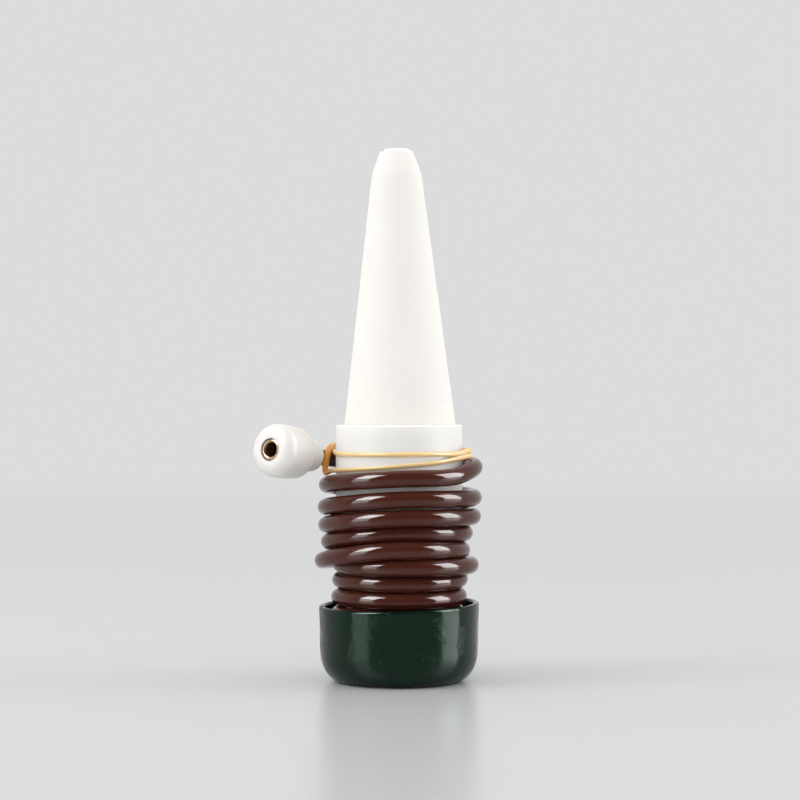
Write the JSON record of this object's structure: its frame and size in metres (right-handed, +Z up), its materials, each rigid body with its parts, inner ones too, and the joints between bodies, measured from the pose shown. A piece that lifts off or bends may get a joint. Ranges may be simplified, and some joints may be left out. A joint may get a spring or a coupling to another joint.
{
  "type": "self watering spike",
  "caption": "Porous ceramic watering cone in a collar, standing upside down on its green screw cap, with its supply hose wound round the collar and a weight on the hose's end.",
  "frame": {"origin": "centre of the cap's flat foot, on the surface it stands on", "axes": "+Z up along the cap, collar and cone; the weight points to -X and -Y, towards the picture's camera, which looks along +Y"},
  "size_m": [0.0542, 0.0419, 0.1263],
  "materials": {
    "cap_green": "glossy dark green",
    "insert_plastic": "plain moulded",
    "collar_plastic": "milky translucent",
    "seal_rubber": "smooth",
    "porous_ceramic": "unglazed, fine pores",
    "hose_brown": "glossy, supple",
    "weight_plastic": "satin",
    "tube_brass": "tarnished inside",
    "band_latex": "translucent amber"
  },
  "bodies": {
    "cap": {"cap_shell": "cap_green", "screw_insert": "insert_plastic", "hose_lead": "hose_brown", "hose_coil": "hose_brown", "hose_tail": "hose_brown", "rubber_band": "band_latex"},
    "seal": {"neck_o_ring": "seal_rubber"},
    "spike": {"collar": "collar_plastic", "cone_seal": "seal_rubber", "ceramic_cone": "porous_ceramic"},
    "weight": {"weight_shell": "weight_plastic", "weight_tube": "tube_brass"}
  },
  "joints": [
    {"name": "thread_rise", "type": "slide", "parent": "cap", "child": "seal", "axis": [0, 0, 1], "range_m": [0, 0.0045]},
    {"name": "cap_screw", "type": "hinge", "parent": "seal", "child": "spike", "pos_m": [0, 0, 0.015], "axis": [0, 0, 1], "range_deg": [0, 540]},
    {"name": "weight_pull", "type": "slide", "parent": "cap", "child": "weight", "axis": [-0.5699, -0.8139, 0.1132], "range_m": [0, 0.01]}
  ],
  "couplings": [
    {"joint": "thread_rise", "follows": "cap_screw", "m_per_rad": 0.00047746}
  ]
}
